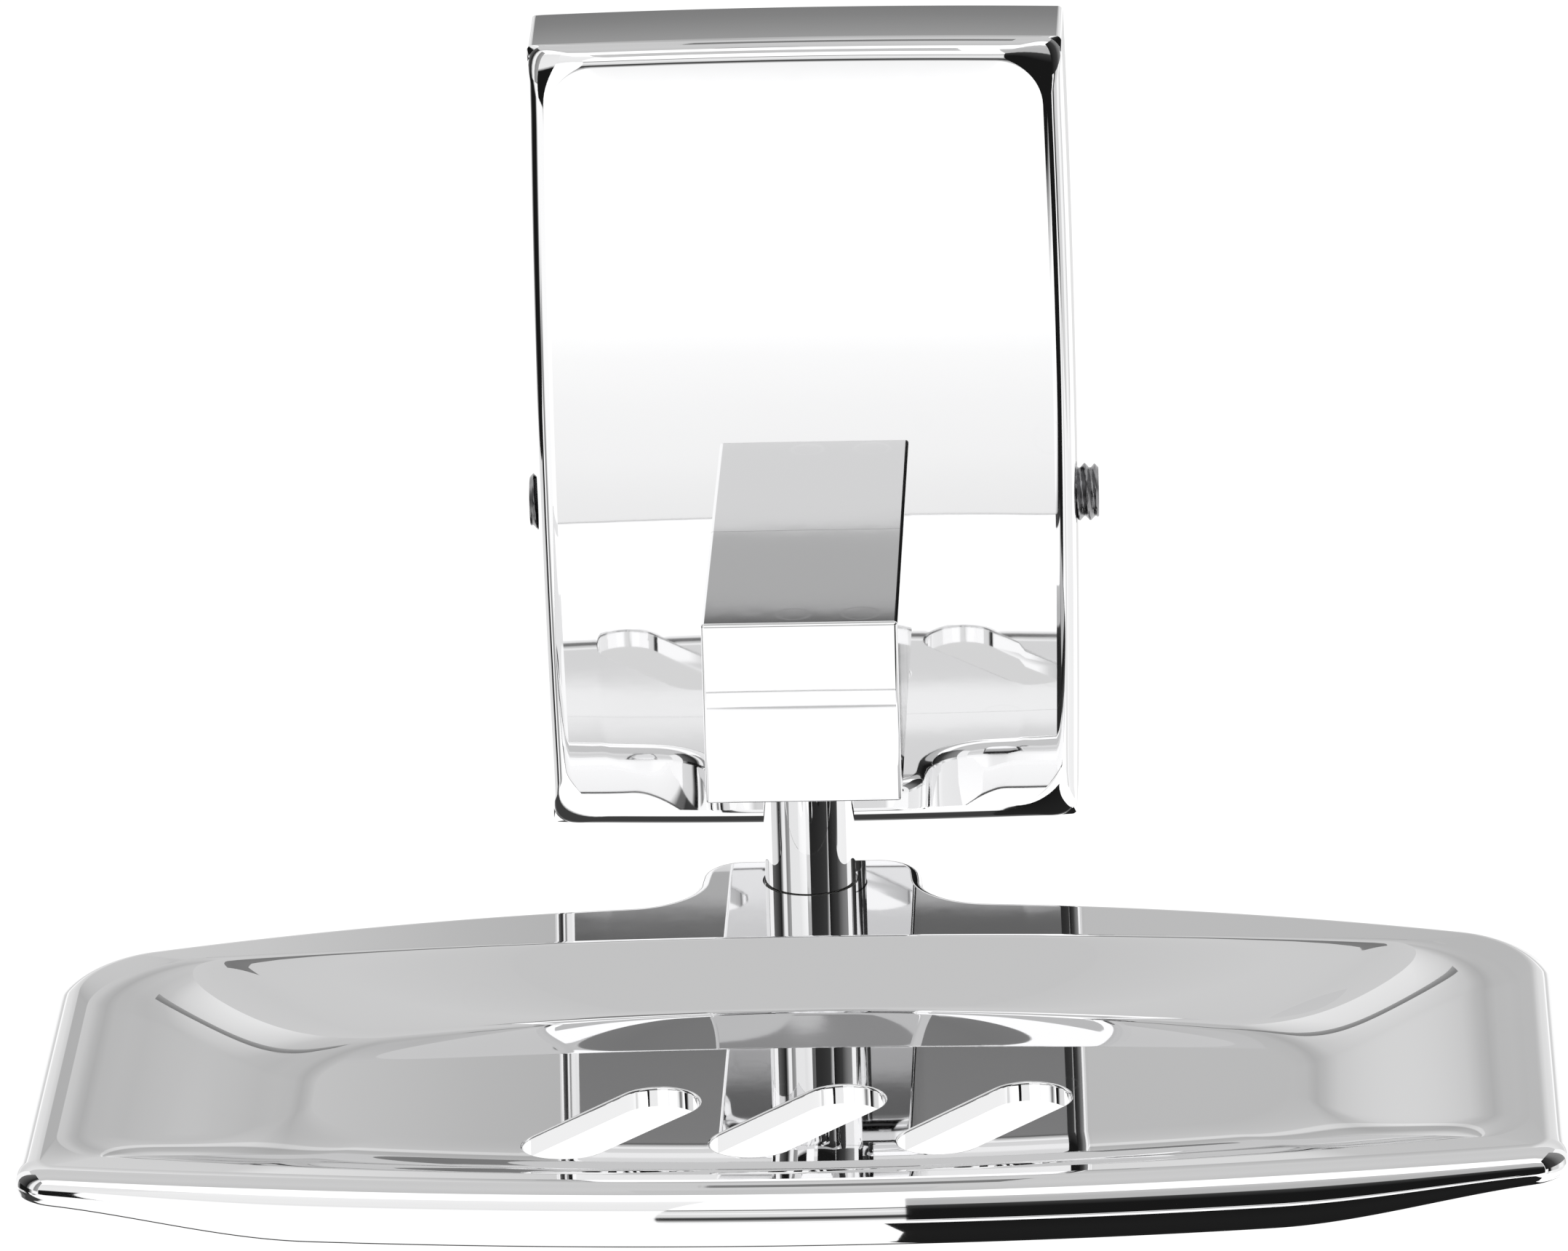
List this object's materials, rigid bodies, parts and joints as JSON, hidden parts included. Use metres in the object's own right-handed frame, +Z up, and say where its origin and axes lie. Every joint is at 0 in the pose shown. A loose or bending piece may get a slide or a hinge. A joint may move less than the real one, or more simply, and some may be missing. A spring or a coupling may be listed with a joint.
{
  "type": "wall soap dish",
  "caption": "Chromed wall soap dish: a tall rounded wall cover, a square arm and a round post that carries a shallow rectangular dish with slanted drain slots.",
  "frame": {"origin": "on the wall face, in the middle of the bracket's back and halfway up the cover", "axes": "+X to the viewer's right, +Y into the wall, +Z up; the dish stands out towards -Y"},
  "size_m": [0.1368, 0.1375, 0.0857],
  "materials": {
    "cover_chrome": "polished chrome plate",
    "arm_chrome": "polished chrome plate",
    "post_chrome": "polished chrome plate",
    "dish_chrome": "polished chrome plate",
    "grub_steel": "bright zinc-plated steel",
    "screw_steel": "bright zinc-plated steel",
    "washer_steel": "plain spring steel",
    "pin_steel": "turned steel",
    "bracket_steel": "zinc-plated sheet steel",
    "plug_nylon": "moulded grey nylon",
    "bush_nylon": "turned natural nylon"
  },
  "bodies": {
    "wall_side": {"wall_plug_upper": "plug_nylon", "wall_plug_lower": "plug_nylon", "wall_screw_upper": "screw_steel", "wall_screw_lower": "screw_steel", "wall_bracket": "bracket_steel", "wall_cover": "cover_chrome", "cover_grub_left": "grub_steel", "cover_grub_right": "grub_steel", "arm": "arm_chrome", "arm_screw": "screw_steel", "arm_washer": "washer_steel", "arm_lock_washer": "washer_steel", "arm_dowel": "pin_steel", "post": "post_chrome", "post_stud": "pin_steel", "wave_washer": "washer_steel", "swivel_washer": "washer_steel", "swivel_screw": "screw_steel"},
    "dish_side": {"dish": "dish_chrome", "swivel_bush": "bush_nylon"}
  },
  "joints": [
    {"name": "dish_swivel", "type": "hinge", "parent": "wall_side", "child": "dish_side", "pos_m": [0, -0.0267, -0.038], "axis": [0, 0, 1], "range_deg": [-35, 35]}
  ]
}
